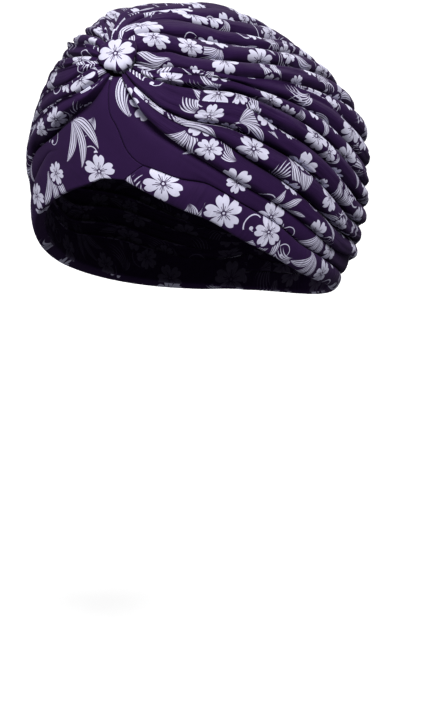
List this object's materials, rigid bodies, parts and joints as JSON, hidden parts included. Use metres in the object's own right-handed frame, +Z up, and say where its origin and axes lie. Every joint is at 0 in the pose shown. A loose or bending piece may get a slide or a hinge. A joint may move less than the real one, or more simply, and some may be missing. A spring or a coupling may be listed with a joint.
{
  "type": "chemo cap",
  "caption": "Pleated turban-style soft head cover whose folds are gathered into a small cloth knot at the forehead",
  "frame": {"origin": "inside the cap, at the middle of the head that it sits on, level with the arch of the front edge", "axes": "+Z up as worn, -Y out of the forehead, +X to the wearer's left"},
  "size_m": [0.1678, 0.1965, 0.1595],
  "materials": {
    "pleated_cloth": "matte",
    "yoke_cloth": "matte",
    "band_cloth": "matte",
    "knot_cloth": "matte"
  },
  "bodies": {
    "root": {"crown_left": "pleated_cloth", "crown_right": "pleated_cloth", "yoke_left": "yoke_cloth", "yoke_right": "yoke_cloth", "hem_band": "band_cloth", "knot": "knot_cloth"}
  },
  "joints": []
}
